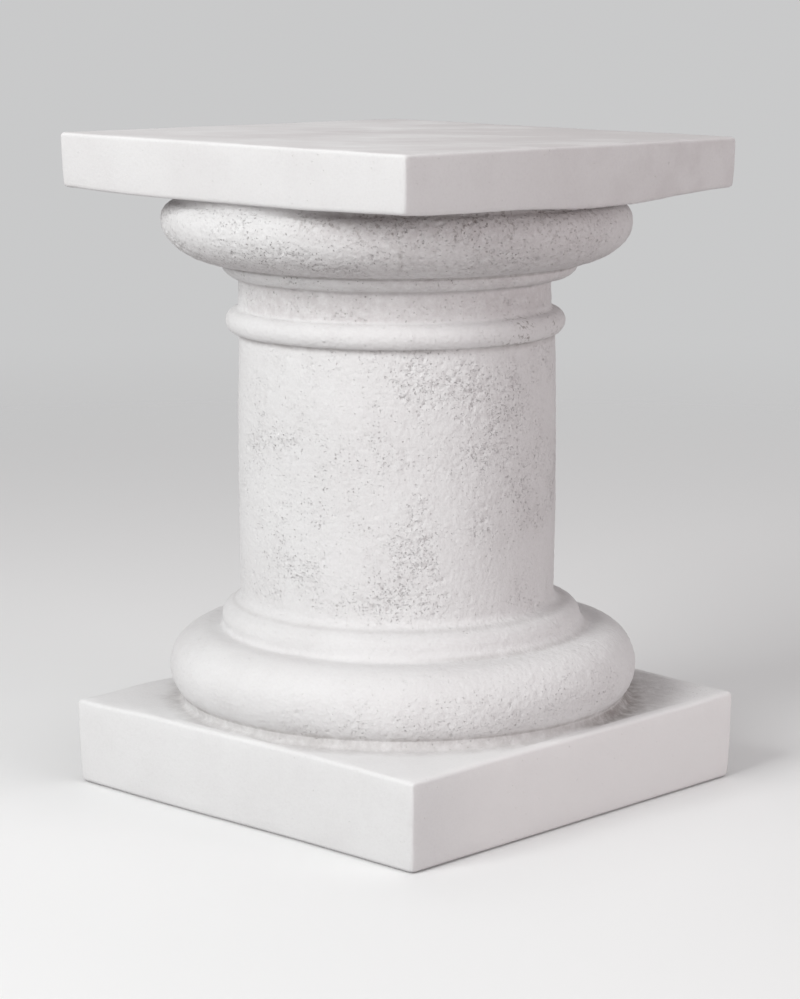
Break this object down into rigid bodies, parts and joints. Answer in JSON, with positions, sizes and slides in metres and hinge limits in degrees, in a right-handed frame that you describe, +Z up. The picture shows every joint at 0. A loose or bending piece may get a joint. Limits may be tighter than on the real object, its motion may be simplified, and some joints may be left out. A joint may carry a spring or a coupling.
{
  "type": "doric column pedestal",
  "caption": "Squat white plaster Doric column with square plinth, torus base, smooth shaft, rounded echinus and square abacus, used as a display pedestal.",
  "frame": {"origin": "centre of the plinth's underside, on the surface the column stands on", "axes": "+Z up along the column's axis; +X and +Y square to the sides of the plinth and abacus"},
  "size_m": [0.3, 0.3, 0.4151],
  "materials": {
    "plaster": "matt white cast plaster, unpainted, with small air holes and faint grey handling marks"
  },
  "bodies": {
    "root": {"doric_column": "plaster"}
  },
  "joints": []
}
